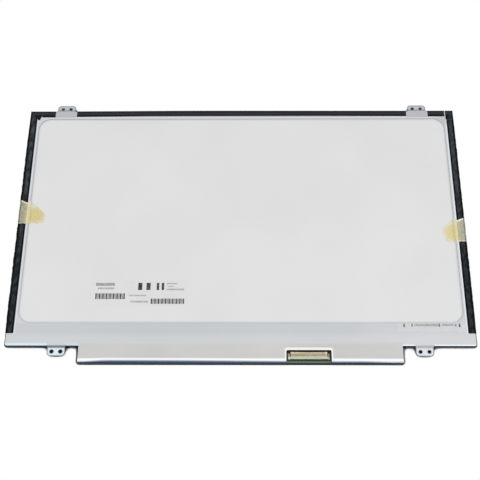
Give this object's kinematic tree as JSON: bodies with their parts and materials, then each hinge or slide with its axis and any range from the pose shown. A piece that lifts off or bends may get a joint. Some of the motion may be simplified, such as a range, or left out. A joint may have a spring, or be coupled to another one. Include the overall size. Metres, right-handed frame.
{
  "type": "laptop screen panel",
  "caption": "Slim edge-lit flat display panel for a laptop lid, lying on its picture side: windowed metal back, screw ears, black edge tapes and a covered driver board with a cable socket.",
  "frame": {"origin": "middle of the panel's frame on the picture face, which it lies on", "axes": "+X towards the side with the cable socket, +Y towards the top edge of the picture, +Z out of the back"},
  "size_m": [0.3206, 0.2052, 0.0032],
  "materials": {
    "polariser_face": "dark anti-glare film",
    "cell_glass": "thin glass with a dark mask",
    "polariser_rear": "dark film",
    "shield_tape": "black double-sided tape",
    "optical_film": "fine ribbed clear film",
    "diffuser_film": "milky film",
    "guide_plate": "clear acrylic",
    "reflector_film": "white satin film",
    "strip_film": "white coated flexible board",
    "led_body": "white moulding",
    "frame_black": "fine texture",
    "sheet_steel": "bare satin sheet",
    "edge_tape": "satin black film",
    "yellow_film": "clear yellow film",
    "label_paper": "white printed film",
    "board_green": "solder mask",
    "cover_silver": "silvered film",
    "socket_ivory": "moulded",
    "contact_gold": "gold plated",
    "shell_steel": "tinned",
    "chip_black": "moulded",
    "ferrite": "dull grey",
    "capacitor_body": "tan",
    "resistor_body": "dark",
    "led_socket_white": "moulded",
    "driver_amber": "amber flexible film",
    "driver_silicon": "bare silicon"
  },
  "bodies": {
    "root": {"array_glass": "cell_glass", "back_frame": "sheet_steel", "backlight_driver": "chip_black", "bias_inductor": "ferrite", "bias_power_chip": "chip_black", "board_cover_film": "cover_silver", "boost_inductor": "ferrite", "capacitors": "capacitor_body", "circuit_board": "board_green", "colour_filter_glass": "cell_glass", "diffuser_sheet": "diffuser_film", "driver_chip_1": "driver_silicon", "driver_chip_2": "driver_silicon", "driver_chip_3": "driver_silicon", "driver_chip_4": "driver_silicon", "driver_film_1": "driver_amber", "driver_film_2": "driver_amber", "driver_film_3": "driver_amber", "driver_film_4": "driver_amber", "edge_tape_corner": "edge_tape", "edge_tape_left": "edge_tape", "edge_tape_right": "edge_tape", "edge_tape_top": "edge_tape", "edge_tape_top_left": "edge_tape", "edge_tape_top_right": "edge_tape", "front_polariser": "polariser_face", "led_packages": "led_body", "led_socket": "led_socket_white", "led_strip": "strip_film", "light_guide": "guide_plate", "light_shield_tape": "shield_tape", "lower_prism_sheet": "optical_film", "main_label": "label_paper", "memory_chip": "chip_black", "mould_frame": "frame_black", "rear_polariser": "polariser_rear", "reflector_sheet": "reflector_film", "resistors": "resistor_body", "serial_label": "label_paper", "socket_contacts": "contact_gold", "socket_housing": "socket_ivory", "socket_shell": "shell_steel", "timing_controller": "chip_black", "upper_prism_sheet": "optical_film", "yellow_tape_left": "yellow_film", "yellow_tape_right": "yellow_film"}
  },
  "joints": []
}
